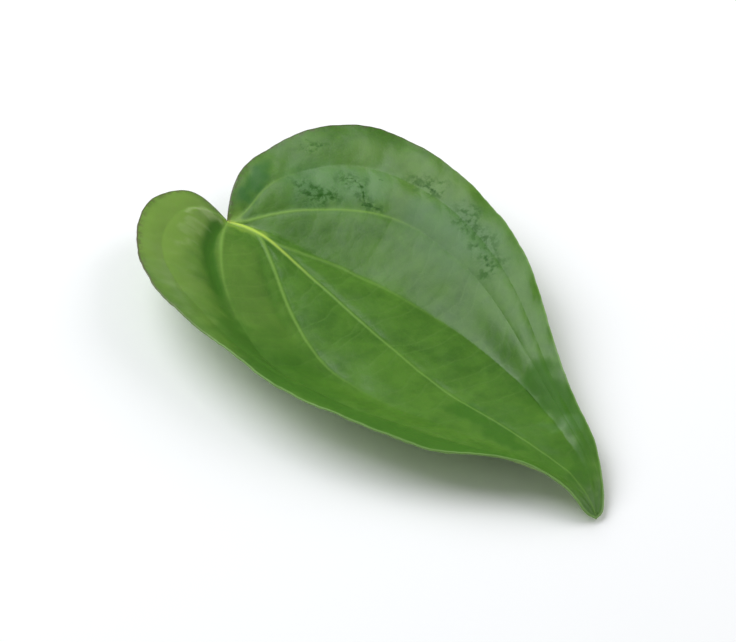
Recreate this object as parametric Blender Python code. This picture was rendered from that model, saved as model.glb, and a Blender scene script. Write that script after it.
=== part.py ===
# A picked betel leaf, laid face up: one heart-shaped blade with its veins, and the stub of its stalk.
# Plan and heights are in millimetres here and scaled to metres when the mesh is made.
# The notch between the lobes is at x = 0, y = 0. +X runs along the midrib to the drip tip and +Y
# to the right half, seen from the stalk. The blade is cupped: it lies on its belly, with both
# lobes and both edges raised, and the tip bends down again almost to the surface.

import bmesh
import bpy
import numpy as np
from mathutils import Vector

MM = 0.001

BLADE_THICKNESS = 0.6
ROWS = 48
SPLINE_SAMPLES = 1200

# Every vein and both edges start in the notch and end in the tip.
NOTCH = (0.0, 0.0, 3.0)
TIP = (122.8, -2.3, 0.75)

MIDRIB = [
    (8, 1.9, 3.1), (22, 2.0, 1.9), (42, 1.3, 1.0), (62, 0.3, 0.9), (78, 0.0, 1.3),
    (92, -0.1, 3.4), (103, 0.0, 4.5), (113, -0.1, 4.1), (119, -1.0, 2.6),
]

# Right half, from the midrib outwards.
RIGHT_INNER_VEIN = [
    (9, 3.8, 3.1), (24, 8.0, 1.8), (41, 13.0, 0.8), (59, 15.3, 0.6), (76, 14.4, 1.4),
    (92, 10.6, 3.6), (106, 6.1, 4.4), (116.6, 2.1, 3.1),
]
RIGHT_MIDDLE_VEIN = [
    (5.3, 9.4, 5.0), (14.7, 18.8, 6.5), (27, 25.8, 7.2), (41.2, 27.3, 7.2), (57.5, 25.6, 6.6),
    (74.8, 20.2, 5.8), (92, 13.4, 5.6), (106.8, 7.8, 5.0), (117.6, 2.9, 2.9),
]
RIGHT_OUTER_VEIN = [
    (-0.5, 10.4, 7.4), (2.6, 20, 9.2), (11, 29.4, 10.6), (25, 34.6, 10.9), (42, 34.6, 10.4),
    (60, 30.2, 9.4), (77, 22.8, 7.6), (93, 14.9, 6.3), (108, 8.9, 5.0), (118, 3.6, 2.7),
]
RIGHT_EDGE = [
    (-4.7, 5.8, 7.6), (-7.7, 13.3, 9.5), (-6.9, 22.1, 11.2), (-2.9, 31.2, 12.8), (6.2, 39.3, 14.0),
    (20.6, 42.4, 14.1), (39.9, 41.5, 13.1), (59.7, 35.9, 11.7), (78.3, 26.0, 9.2),
    (94.9, 16.6, 7.1), (108.9, 10.4, 5.2), (117.8, 4.4, 2.8), (122.6, -0.4, 1.0),
]

# Left half, a little narrower and with its outer strip curled up more steeply.
LEFT_INNER_VEIN = [
    (9, -0.1, 3.1), (18, -2.3, 2.2), (27, -6.4, 1.6), (37.6, -10.7, 0.9), (48, -13.6, 0.6),
    (60, -13.6, 0.7), (76, -11.2, 2.2), (92, -7.3, 4.2), (106, -3.6, 5.0), (116.5, -1.9, 3.7),
]
LEFT_MIDDLE_VEIN = [
    (4, -5.3, 4.1), (11.7, -12.4, 4.8), (22.4, -18.6, 5.4), (35, -23.5, 5.9), (47, -26.0, 6.1),
    (60.6, -25.0, 6.2), (76, -20.2, 6.4), (92, -13.4, 6.7), (105, -7.0, 6.4), (116, -3.2, 4.6),
]
LEFT_OUTER_VEIN = [
    (-2.6, -5.8, 8.2), (-1.8, -13, 10.2), (3.5, -20.8, 11.2), (12.5, -26.4, 11.6),
    (26, -30.0, 11.4), (42, -31.0, 11.0), (60, -29.8, 10.4), (77, -24.6, 9.8),
    (93, -17.0, 9.1), (104, -9.4, 8.0), (110, -5.9, 7.1), (115.5, -4.3, 5.5),
]
LEFT_EDGE = [
    (-6.8, -4.2, 9.4), (-8.9, -10.0, 11.0), (-6.4, -18.0, 12.4), (0.4, -25.2, 13.6),
    (10.1, -31.5, 14.6), (23.4, -35.7, 15.0), (41.3, -35.9, 14.5), (61, -34.4, 13.4),
    (79.5, -28.5, 12.1), (94.3, -20.8, 10.8), (103, -12.4, 9.8), (110.2, -7.5, 8.4),
    (117.5, -5.0, 5.8), (121.8, -3.9, 2.2),
]

# Veins stand out below as ribs and are sunk a little above. Height and half width go from the
# first value at the notch to the second at the tip.
MIDRIB_HEIGHT = (1.5, 0.3)
MIDRIB_REACH = (1.5, 0.7)
INNER_RIB_HEIGHT = (0.9, 0.2)
MIDDLE_RIB_HEIGHT = (0.8, 0.15)
SIDE_RIB_REACH = (1.1, 0.6)
OUTER_RIB_HEIGHT = (0.35, 0.05)
SUNK_SHARE = 0.16

RIB_ROUNDNESS = 0.8

# The panels between the veins bulge upwards by a share of their width, and the outer strip
# ripples along the edge in two waves. Both fade out at the notch and the tip.
PANEL_BULGE = (0.03, 0.045, 0.045, 0.035)
RIPPLE_HEIGHTS = (0.26, 0.14)
RIPPLE_COUNTS = (5.3, 11.7)
RIPPLE_FALLOFF = 4
RIGHT_PHASE = 0.15
LEFT_PHASE = 0.6
FADE_POWER = 0.5

# Steps across each panel between the ribs that border it, from the midrib to the edge.
PANEL_STEPS = (3, 4, 3, 4)
MOST_RIB_SHARE = 0.28

# What is left of the stalk, nipped off where it meets the blade.
STUB_START = (2.6, 0.5, 2.1)
STUB_END = (-1.7, -0.2, 1.35)
STUB_RADII = (1.0, 1.15)
STUB_SIDES = 10

LEAF_GREEN = (0.075, 0.19, 0.035)
LEAF_ROUGHNESS = 0.42
SHARP_ANGLE = 50


def clear_scene():
    for thing in list(bpy.data.objects):
        bpy.data.objects.remove(thing, do_unlink=True)


def new_material(name, colour, roughness, metallic):
    material = bpy.data.materials.new(name)
    material.use_nodes = True
    shader = material.node_tree.nodes["Principled BSDF"]
    shader.inputs["Base Color"].default_value = (*colour, 1.0)
    shader.inputs["Roughness"].default_value = roughness
    shader.inputs["Metallic"].default_value = metallic
    return material


def curve_through(points, count):
    """Natural cubic spline through the points, read at equal steps of its length."""
    points = np.array([NOTCH] + points + [TIP], float)
    chord = np.sqrt(np.linalg.norm(np.diff(points, axis=0), axis=1))
    knots = np.concatenate([[0], np.cumsum(chord)])
    slope = np.diff(points, axis=0) / chord[:, None]
    matrix = np.eye(len(points))
    wanted = np.zeros_like(points)
    for i in range(1, len(points) - 1):
        matrix[i, i - 1:i + 2] = chord[i - 1], 2 * (chord[i - 1] + chord[i]), chord[i]
        wanted[i] = 6 * (slope[i] - slope[i - 1])
    bend = np.linalg.solve(matrix, wanted)
    place = np.linspace(0, knots[-1], SPLINE_SAMPLES)
    i = np.clip(np.searchsorted(knots, place, side="right") - 1, 0, len(chord) - 1)
    span = chord[i][:, None]
    after = (place - knots[i])[:, None]
    before = span - after
    curve = (bend[i] * before ** 3 + bend[i + 1] * after ** 3) / (6 * span)
    curve += (points[i] / span - bend[i] * span / 6) * before
    curve += (points[i + 1] / span - bend[i + 1] * span / 6) * after
    length = np.concatenate([[0], np.cumsum(np.linalg.norm(np.diff(curve, axis=0), axis=1))])
    even = np.linspace(0, length[-1], count)
    return np.stack([np.interp(even, length, axis) for axis in curve.T], axis=1)


def tapered(ends, along):
    return ends[0] + (ends[1] - ends[0]) * along


def panel_shares(width, first_reach, last_reach, steps):
    """Where the columns of one panel stand, from 0 at its first vein up to but not including 1."""
    first = min(first_reach / width, MOST_RIB_SHARE)
    last = min(last_reach / width, MOST_RIB_SHARE)
    shares = [0.0, first / 2] if first_reach else []
    shares += list(np.linspace(first, 1 - last, steps + 1))
    if last_reach:
        shares.append(1 - last / 2)
    else:
        shares.pop()
    return shares


def smooth_heights(distance, height, at):
    """Monotone cubic through the heights of one row, so that no panel overshoots its veins."""
    width = np.diff(distance)
    slope = np.diff(height) / width
    tangent = np.zeros(len(height))
    tangent[0] = slope[0]
    tangent[-1] = slope[-1]
    for i in range(1, len(height) - 1):
        if slope[i - 1] * slope[i] > 0:
            first = 2 * width[i] + width[i - 1]
            last = width[i] + 2 * width[i - 1]
            tangent[i] = (first + last) / (first / slope[i - 1] + last / slope[i])
    i = np.clip(np.searchsorted(distance, at, side="right") - 1, 0, len(width) - 1)
    t = (at - distance[i]) / width[i]
    start = (1 + 2 * t) * (1 - t) ** 2 * height[i] + t * (1 - t) ** 2 * width[i] * tangent[i]
    end = t ** 2 * (3 - 2 * t) * height[i + 1] - t ** 2 * (1 - t) * width[i] * tangent[i + 1]
    return start + end


def edge_ripple(outward, along, phase):
    waves = sum(
        height * np.sin(2 * np.pi * (count * along + phase))
        for height, count in zip(RIPPLE_HEIGHTS, RIPPLE_COUNTS)
    )
    return outward ** RIPPLE_FALLOFF * waves


def half_row(veins, row, along, phase):
    """Plan points of one half of a row, their distance from the midrib, bulge and ripple."""
    side_reach = tapered(SIDE_RIB_REACH, along)
    reaches = (tapered(MIDRIB_REACH, along), side_reach, side_reach, 0.0, 0.0)
    plan, distance, lift = [], [], []
    walked = 0.0
    fade = np.sin(np.pi * along) ** FADE_POWER
    for panel, steps in enumerate(PANEL_STEPS):
        start, end = veins[panel][row], veins[panel + 1][row]
        width = np.linalg.norm(end[:2] - start[:2])
        shares = panel_shares(width, reaches[panel], reaches[panel + 1], steps)
        if panel == len(PANEL_STEPS) - 1:
            shares.append(1.0)
        for share in shares:
            plan.append(start[:2] + (end[:2] - start[:2]) * share)
            distance.append(walked + width * share)
            outward = (panel + share) / len(PANEL_STEPS)
            bulge = PANEL_BULGE[panel] * width * np.sin(np.pi * share)
            lift.append((bulge + edge_ripple(outward, along, phase)) * fade)
        walked += width
    return plan, distance, lift


def blade_rows(right, left):
    """The middle surface of the blade, row by row from the notch to the tip."""
    rows = []
    for row in range(1, ROWS):
        along = row / ROWS
        right_plan, right_distance, right_lift = half_row(right, row, along, RIGHT_PHASE)
        left_plan, left_distance, left_lift = half_row(left, row, along, LEFT_PHASE)
        known = [0.0]
        heights = [right[0][row][2]]
        for veins, sign in ((right, 1), (left, -1)):
            walked = 0.0
            for inner, outer in zip(veins, veins[1:]):
                walked += np.linalg.norm(outer[row][:2] - inner[row][:2])
                known.append(sign * walked)
                heights.append(outer[row][2])
        order = np.argsort(known)
        distance = np.array([-d for d in left_distance[:0:-1]] + right_distance)
        height = smooth_heights(np.array(known)[order], np.array(heights)[order], distance)
        height += np.array(left_lift[:0:-1] + right_lift)
        rows.append(np.column_stack([np.array(left_plan[:0:-1] + right_plan), height]))
    return rows


def distance_to(curve, points):
    """Distance in plan from each point to the curve, and how far along the curve that is, 0 to 1."""
    start, step = curve[:-1, :2], np.diff(curve[:, :2], axis=0)
    away = points[:, None, :2] - start
    share = np.clip((away * step).sum(2) / (step ** 2).sum(1), 0, 1)
    gap = np.linalg.norm(away - share[..., None] * step, axis=2)
    nearest = gap.argmin(axis=1)
    every = np.arange(len(points))
    return gap[every, nearest], (nearest + share[every, nearest]) / len(step)


def rib_height(points, right, left):
    """How far the veins stand out below the blade at each point."""
    found = np.zeros(len(points))
    ribs = [(right[0], MIDRIB_HEIGHT, MIDRIB_REACH)]
    for veins in (right, left):
        ribs.append((veins[1], INNER_RIB_HEIGHT, SIDE_RIB_REACH))
        ribs.append((veins[2], MIDDLE_RIB_HEIGHT, SIDE_RIB_REACH))
        ribs.append((veins[3], OUTER_RIB_HEIGHT, SIDE_RIB_REACH))
    for curve, height, reach in ribs:
        gap, along = distance_to(curve, points)
        inward = np.clip(1 - gap / tapered(reach, along), 0, 1)
        profile = np.sin(inward * np.pi / 2) ** RIB_ROUNDNESS
        found = np.maximum(found, tapered(height, along) * profile)
    return found


def middle_surface(rows):
    """A bmesh of the middle surface, in millimetres, with fans at the notch and the tip."""
    surface = bmesh.new()
    notch = surface.verts.new(NOTCH)
    grid = [[surface.verts.new(point) for point in row] for row in rows]
    tip = surface.verts.new(TIP)
    columns = range(len(grid[0]) - 1)
    for j in columns:
        surface.faces.new((notch, grid[0][j + 1], grid[0][j])[::-1])
        surface.faces.new((tip, grid[-1][j], grid[-1][j + 1])[::-1])
    for near, far in zip(grid, grid[1:]):
        for j in columns:
            surface.faces.new((near[j], far[j], far[j + 1]))
            surface.faces.new((near[j], far[j + 1], near[j + 1]))
    surface.normal_update()
    return surface


def thicken(surface, ribs):
    """Closed blade: an upper and a lower skin with the same triangles, joined round the edge."""
    blade = bmesh.new()
    upper, lower = [], []
    for vert, rib in zip(surface.verts, ribs):
        half = vert.normal * BLADE_THICKNESS / 2
        above = vert.co + half
        above.z -= SUNK_SHARE * rib
        upper.append(blade.verts.new(above))
        below = vert.co - half
        below.z = max(below.z - rib, 0.0)
        lower.append(blade.verts.new(below))
    surface.verts.index_update()
    for face in surface.faces:
        corners = [vert.index for vert in face.verts]
        blade.faces.new([upper[i] for i in corners])
        blade.faces.new([lower[i] for i in reversed(corners)])
    for edge in surface.edges:
        if edge.is_boundary:
            loop = edge.link_loops[0]
            a, b = loop.vert.index, loop.link_loop_next.vert.index
            blade.faces.new((upper[b], upper[a], lower[a]))
            blade.faces.new((upper[b], lower[a], lower[b]))
    surface.free()
    return blade


def centre_of(mesh_data):
    """Middle of the plan of a bmesh, which becomes the origin."""
    places = np.array([vert.co[:2] for vert in mesh_data.verts])
    return Vector((*((places.min(axis=0) + places.max(axis=0)) / 2), 0.0))


def finish_object(name, built, centre, material):
    bmesh.ops.translate(built, verts=built.verts, vec=-centre)
    bmesh.ops.scale(built, verts=built.verts, vec=(MM, MM, MM))
    mesh = bpy.data.meshes.new(name)
    built.to_mesh(mesh)
    built.free()
    mesh.materials.append(material)
    mesh.shade_smooth()
    mesh.set_sharp_from_angle(angle=np.radians(SHARP_ANGLE))
    thing = bpy.data.objects.new(name, mesh)
    bpy.context.scene.collection.objects.link(thing)
    return thing


def make_stub(centre, material):
    """Short cone along the end of the midrib, a helper that is fused to the blade."""
    start, end = Vector(STUB_START), Vector(STUB_END)
    built = bmesh.new()
    bmesh.ops.create_cone(
        built, cap_ends=True, segments=STUB_SIDES,
        radius1=STUB_RADII[0], radius2=STUB_RADII[1], depth=(end - start).length,
    )
    turn = (end - start).to_track_quat("Z", "X").to_matrix()
    bmesh.ops.rotate(built, verts=built.verts, matrix=turn)
    bmesh.ops.translate(built, verts=built.verts, vec=(start + end) / 2)
    stub = finish_object("stub_helper", built, centre, material)
    stub.hide_render = True
    stub.display_type = "WIRE"
    return stub


def make_leaf():
    counts = ROWS + 1
    midrib = curve_through(MIDRIB, counts)
    right = [midrib] + [
        curve_through(points, counts)
        for points in (RIGHT_INNER_VEIN, RIGHT_MIDDLE_VEIN, RIGHT_OUTER_VEIN, RIGHT_EDGE)
    ]
    left = [midrib] + [
        curve_through(points, counts)
        for points in (LEFT_INNER_VEIN, LEFT_MIDDLE_VEIN, LEFT_OUTER_VEIN, LEFT_EDGE)
    ]
    surface = middle_surface(blade_rows(right, left))
    points = np.array([vert.co for vert in surface.verts])
    blade = thicken(surface, rib_height(points, right, left))
    centre = centre_of(blade)
    green = new_material("leaf_green", LEAF_GREEN, LEAF_ROUGHNESS, 0.0)
    leaf = finish_object("betel_leaf", blade, centre, green)
    join = leaf.modifiers.new("stalk stub", "BOOLEAN")
    join.operation = "UNION"
    join.object = make_stub(centre, green)
    return leaf


clear_scene()
make_leaf()
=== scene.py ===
import math
from functools import partial

import bpy
import numpy as np
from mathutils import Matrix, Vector
from mathutils.kdtree import KDTree


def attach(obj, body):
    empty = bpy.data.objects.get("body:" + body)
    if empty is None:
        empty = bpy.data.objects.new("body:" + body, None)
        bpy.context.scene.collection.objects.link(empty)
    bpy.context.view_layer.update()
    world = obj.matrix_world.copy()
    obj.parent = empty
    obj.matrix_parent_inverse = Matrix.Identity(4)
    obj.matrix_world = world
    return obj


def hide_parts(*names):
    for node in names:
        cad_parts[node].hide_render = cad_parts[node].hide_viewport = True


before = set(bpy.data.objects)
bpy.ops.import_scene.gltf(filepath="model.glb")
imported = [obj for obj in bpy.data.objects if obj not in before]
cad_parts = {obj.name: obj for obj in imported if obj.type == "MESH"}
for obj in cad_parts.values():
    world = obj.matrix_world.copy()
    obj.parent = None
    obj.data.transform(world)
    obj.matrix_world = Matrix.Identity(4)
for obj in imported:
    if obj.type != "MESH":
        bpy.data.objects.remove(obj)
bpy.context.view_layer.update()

mm = 0.001
eased = {"interpolation_type": "SMOOTHSTEP"}  # for ranges that start and end softly


def addNode(tree, kind, *values, inputs=None, output=0, **settings):
    # kind is Blender's name for the node, from after the word "Node" on, and its operation if it has
    # one. Values go to its first inputs, where None leaves one as it is, and inputs names others.
    # Gives back one output, or the node itself where output is None.
    kind, *operation = kind.split()
    names = [family + "Node" + kind for family in ("Geometry", "Function", "Shader", "")]
    node = tree.nodes.new(next(name for name in names if hasattr(bpy.types, name)))
    for name, setting in (*settings.items(), *[("operation", name) for name in operation]):
        setattr(node, name, setting)
    for key, value in {**dict(enumerate(values)), **(inputs or {})}.items():
        for one in value if isinstance(value, list) else [] if value is None else [value]:
            if isinstance(one, bpy.types.NodeSocket):
                tree.links.new(one, node.inputs[key])
            else:
                node.inputs[key].default_value = one
    return node if output is None else node.outputs[output]


def startNodes(owner):
    # empties the nodes of a material or a world, and gives back what adds to them
    owner.use_nodes = True
    owner.node_tree.nodes.clear()
    return partial(addNode, owner.node_tree)


def addObject(name, data):
    made = bpy.data.objects.new(name, data)
    bpy.context.scene.collection.objects.link(made)
    return made


def toLinear(hexColour):
    parts = [int(hexColour[i:i + 2], 16) / 255 for i in (1, 3, 5)]
    return (*[c / 12.92 if c <= 0.04045 else ((c + 0.055) / 1.055) ** 2.4 for c in parts], 1.0)


# Blade

leftValley = [
    (-1.6, -0.8), (0.4, -2.8), (3.8, -7.3), (8.2, -12), (13.4, -15.3), (19.1, -18.3), (25.2, -21.4),
]

leafShape = {
    # millimetres, notch at x = 0 and y = 0, x towards the tip, y to the right half
    "notch": (0.0, 0.0, 3.0),
    "tip": (122.8, -2.3, 0.75),
    "midrib": [
        (8, 2.3, 3.2), (22, 2.8, 2.0), (42, 1.8, 1.0), (62, 0.4, 0.9), (78, 0.0, 1.3),
        (92, -0.1, 3.4), (103, 0.0, 4.5), (113, -0.1, 4.1), (119, -1.0, 2.6),
    ],
    "rightInner": [
        (9, 3.9, 3.1), (24, 8.5, 1.8), (41, 13.0, 0.8), (59, 15.3, 0.6), (76, 14.4, 1.4),
        (92, 10.6, 3.6), (106, 6.1, 4.4), (116.6, 2.1, 3.1),
    ],
    "rightMiddle": [
        (2.6, 1.7, 3.4), (6.9, 8.1, 4.9), (14.7, 17.0, 6.3), (27, 25.4, 7.2), (41.2, 27.3, 7.2),
        (57.5, 25.6, 6.6), (74.8, 20.2, 5.8), (92, 13.4, 5.6), (106.8, 7.8, 5.0), (117.6, 2.9, 2.9),
    ],
    "rightOuter": [
        (1.7, 3.5, 4.3), (0.8, 10.7, 7.5), (3.1, 20, 9.2), (11, 29.4, 10.6), (25, 34.6, 10.9),
        (42, 34.6, 10.4), (60, 30.2, 9.4), (77, 22.8, 7.6), (93, 14.9, 6.3), (108, 8.9, 5.0),
        (118, 3.6, 2.7),
    ],
    "rightEdge": [
        (-4.7, 5.8, 7.6), (-7.7, 13.3, 9.5), (-6.9, 22.1, 11.2), (-2.9, 31.2, 12.8),
        (6.2, 39.3, 14.0), (20.6, 42.4, 14.1), (39.9, 41.5, 13.1), (59.7, 35.9, 11.7),
        (78.3, 26.0, 9.2), (94.9, 16.6, 7.1), (108.9, 10.4, 5.2), (117.8, 4.4, 2.8),
        (122.6, -0.4, 1.0),
    ],
    "leftInner": [
        (9, 0.4, 3.1), (15.5, -0.6, 2.5), (25, -4.8, 1.7), (33, -8.3, 1.2), (42.4, -11.7, 0.8),
        (50, -13.4, 0.6), (60, -13.6, 0.7), (76, -11.2, 2.2), (92, -7.3, 4.2), (106, -3.6, 5.0),
        (116.5, -1.9, 3.7),
    ],
    "leftMiddle": [
        (4.1, -4.5, 4.1), (12, -11.3, 4.8), (22.4, -17.8, 5.4), (35, -23.3, 5.9), (47, -26.0, 6.1),
        (60.6, -25.0, 6.2), (76, -20.2, 6.4), (92, -13.4, 6.7), (105, -7.0, 6.4), (116, -3.2, 4.6),
    ],
    "leftOuter": [
        (-2.6, -5.8, 8.2), (-1.8, -13, 10.2), (3.5, -20.8, 11.2), (12.5, -26.4, 11.6),
        (26, -30.0, 11.4), (42, -31.0, 11.0), (60, -29.8, 10.4), (77, -24.6, 9.8),
        (93, -17.0, 9.1), (104, -9.4, 8.0), (110, -5.9, 7.1), (115.5, -4.3, 5.5),
    ],
    "leftEdge": [
        (-6.8, -4.2, 9.4), (-8.9, -10.0, 11.0), (-6.4, -18.0, 12.4), (0.4, -25.2, 13.6),
        (10.1, -31.5, 14.6), (23.4, -35.7, 15.0), (41.3, -35.9, 14.5), (61, -34.4, 13.4),
        (79.5, -28.5, 12.1), (94.3, -20.8, 10.8), (103, -12.4, 9.8), (110.2, -7.5, 8.4),
        (117.5, -5.0, 5.8), (121.8, -3.9, 2.2),
    ],
    "panelBulge": (0.03, 0.045, 0.045, 0.035),  # share of each panel's width, midrib outwards
    "rippleHeights": (0.26, 0.14),
    "rippleCounts": (5.3, 11.7),
    "rippleFalloff": 4,
    "phases": {"right": 0.15, "left": 0.6},
    "fadePower": 0.5,  # bulge and ripple die out at notch and tip
    "nibbleHeights": (0.09, 0.07, 0.04),  # unevenness of the margin, in the blade's plane
    "nibbleCounts": (13.7, 29.3, 61.1),
    "folds": [
        # path, half width, height: valleys beside two veins and in the drip tip, a raised vein,
        # puckers of the lobe, and ripples across the drip tip
        (leftValley, 1.6, -0.4), (leftValley + [(30.6, -23.6), (38.5, -27)], 1.8, -0.38),
        ([(10, 0.2), (12.1, -1.1), (16, -2.9), (21.9, -6.6), (28.9, -9.9), (35.7, -12.5), (44, -15)],
         1.3, -0.3),
        ([(86, 12.2), (93, 12.0), (99, 10.2)], 2.6, -0.35),
        ([(2, -2), (4.1, -4.5), (8.3, -8.4), (12, -11.3)], 1.1, 0.3),
        ([(4.1, -4.5), (12, -11.3), (17.5, -15)], 1.1, 0.12),
        ([(-1.9, -11), (-1.7, -7.1), (-1.1, -4.4), (-0.2, -2.9)], 0.8, 0.35),
        ([(1.5, -16), (2.6, -11)], 0.8, 0.15), ([(5.4, -19), (6.2, -14)], 0.9, 0.15),
        ([(9.2, -24.5), (10.1, -19)], 0.9, 0.16), ([(14.4, -25), (15.7, -20)], 0.9, 0.14),
        ([(96.6, 3.6), (99.2, 7.6), (102.6, 10.6)], 1.6, 0.28),
        ([(100.8, 2.8), (103, 6.6), (105.8, 9)], 1.3, 0.16),
        ([(104.6, 0.3), (106.8, 3.8), (109, 7)], 1.4, 0.24),
        ([(111.4, -2.8), (112.4, 0.6), (113.6, 3.6)], 1.4, 0.2),
    ],
    "foldEnds": 6.0,
    "rimOutAtNotch": (-1.0, 0.0, 0.0),
    "rimOutAtTip": (0.86, 0.0, -0.5),
    "curveSteps": 4000,
    "rows": 300,
    "panelColumns": (32, 32, 16, 16),
    "columnGather": 0.45,  # columns stand closer beside the veins
    "rowStrides": ((38.0, 1), (19.0, 2), (9.0, 4), (0.0, 8)),  # wide rows use every column
}


def curveThrough(points, count):
    # natural cubic spline through the points, read at equal steps of its length
    points = np.array([leafShape["notch"]] + points + [leafShape["tip"]], float)
    chord = np.sqrt(np.linalg.norm(np.diff(points, axis=0), axis=1))
    knots = np.concatenate([[0], np.cumsum(chord)])
    slope = np.diff(points, axis=0) / chord[:, None]
    matrix = np.eye(len(points))
    wanted = np.zeros_like(points)
    for i in range(1, len(points) - 1):
        matrix[i, i - 1:i + 2] = chord[i - 1], 2 * (chord[i - 1] + chord[i]), chord[i]
        wanted[i] = 6 * (slope[i] - slope[i - 1])
    bend = np.linalg.solve(matrix, wanted)
    place = np.linspace(0, knots[-1], leafShape["curveSteps"])
    i = np.clip(np.searchsorted(knots, place, side="right") - 1, 0, len(chord) - 1)
    span = chord[i][:, None]
    after = (place - knots[i])[:, None]
    before = span - after
    curve = (bend[i] * before ** 3 + bend[i + 1] * after ** 3) / (6 * span)
    curve += (points[i] / span - bend[i] * span / 6) * before
    curve += (points[i + 1] / span - bend[i + 1] * span / 6) * after
    length = np.concatenate([[0], np.cumsum(np.linalg.norm(np.diff(curve, axis=0), axis=1))])
    even = np.linspace(0, length[-1], count)
    return np.stack([np.interp(even, length, axis) for axis in curve.T], axis=1)


def smoothHeights(distance, height, at):
    # monotone cubic through the heights of one row, so no panel overshoots its veins
    width = np.diff(distance)
    slope = np.diff(height) / width
    tangent = np.zeros(len(height))
    tangent[0] = slope[0]
    tangent[-1] = slope[-1]
    for i in range(1, len(height) - 1):
        if slope[i - 1] * slope[i] > 0:
            first = 2 * width[i] + width[i - 1]
            last = width[i] + 2 * width[i - 1]
            tangent[i] = (first + last) / (first / slope[i - 1] + last / slope[i])
    i = np.clip(np.searchsorted(distance, at, side="right") - 1, 0, len(width) - 1)
    t = (at - distance[i]) / width[i]
    start = (1 + 2 * t) * (1 - t) ** 2 * height[i] + t * (1 - t) ** 2 * width[i] * tangent[i]
    end = t ** 2 * (3 - 2 * t) * height[i + 1] - t ** 2 * (1 - t) * width[i] * tangent[i + 1]
    return start + end


def waves(heights, counts, along, phase):
    return sum(h * np.sin(2 * np.pi * (c * along + phase)) for h, c in zip(heights, counts))


def halfRow(rails, row, along, side):
    # one half of a row, midrib outwards: plan, distance from the midrib, lift and panel coordinate of
    # its points, then distance and height of the veins and the edge that it crosses
    shape = leafShape
    fade = np.sin(np.pi * along) ** shape["fadePower"]
    ripple = waves(shape["rippleHeights"], shape["rippleCounts"], along, shape["phases"][side])
    nibble = waves(shape["nibbleHeights"], shape["nibbleCounts"], along, shape["phases"][side])
    plan, distance, lift, across = [], [], [], []
    crossed = [0.0]
    for panel, columns in enumerate(shape["panelColumns"]):
        start, end = rails[panel][row, :2], rails[panel + 1][row, :2]
        width = np.linalg.norm(end - start)
        lastPanel = panel == len(shape["panelColumns"]) - 1
        share = np.arange(columns + 1 if lastPanel else columns) / columns
        share = share - shape["columnGather"] * np.sin(2 * np.pi * share) / (2 * np.pi)
        reach = share + (nibble * fade * share ** 2 / width if lastPanel else 0)
        plan.append(start + (end - start) * reach[:, None])
        distance.append(crossed[-1] + width * share)
        outward = (panel + share) / len(shape["panelColumns"])
        bulge = shape["panelBulge"][panel] * width * np.sin(np.pi * share)
        lift.append((bulge + outward ** shape["rippleFalloff"] * ripple) * fade)
        across.append(panel + share)
        crossed.append(crossed[-1] + width)
    parts = [np.concatenate(part) for part in (plan, distance, lift, across)]
    return *parts, np.array(crossed), np.array([rail[row, 2] for rail in rails])


def nearPath(plan, path):
    # distance of each point of the plan from a path, and the way along it to the path's nearer end
    path = np.array(path, float)
    gap = np.full(len(plan), np.inf)
    toEnd = np.zeros(len(plan))
    pieces = np.diff(path, axis=0)
    lengths = np.linalg.norm(pieces, axis=1)
    for i, piece in enumerate(pieces):
        share = np.clip((plan - path[i]) @ piece / lengths[i] ** 2, 0, 1)
        away = np.linalg.norm(plan - path[i] - share[:, None] * piece, axis=1)
        run = lengths[:i].sum() + share * lengths[i]
        nearer = away < gap
        toEnd[nearer] = np.minimum(run, lengths.sum() - run)[nearer]
        gap[nearer] = away[nearer]
    return gap, toEnd


def smooth(share):
    share = np.clip(share, 0, 1)
    return share * share * (3 - 2 * share)


def foldLift(plan):
    # height that the folds add, dying out at both ends of each fold
    lift = np.zeros(len(plan))
    for path, width, height in leafShape["folds"]:
        gap, toEnd = nearPath(plan, path)
        fade = min(leafShape["foldEnds"], np.linalg.norm(np.diff(path, axis=0), axis=1).sum() / 2)
        lift += height * smooth(toEnd / fade) * np.exp(-(gap / width) ** 2)
    return lift


def zipRows(near, far):
    # triangles between two rows of (column, vertex), which need not have the same columns
    triangles = []
    i = j = 0
    while i < len(near) - 1 or j < len(far) - 1:
        stepNear = j == len(far) - 1 or (i < len(near) - 1 and near[i + 1][0] <= far[j + 1][0])
        if stepNear:
            triangles.append((near[i][1], far[j][1], near[i + 1][1]))
            i += 1
        else:
            triangles.append((near[i][1], far[j][1], far[j + 1][1]))
            j += 1
    return triangles


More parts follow.
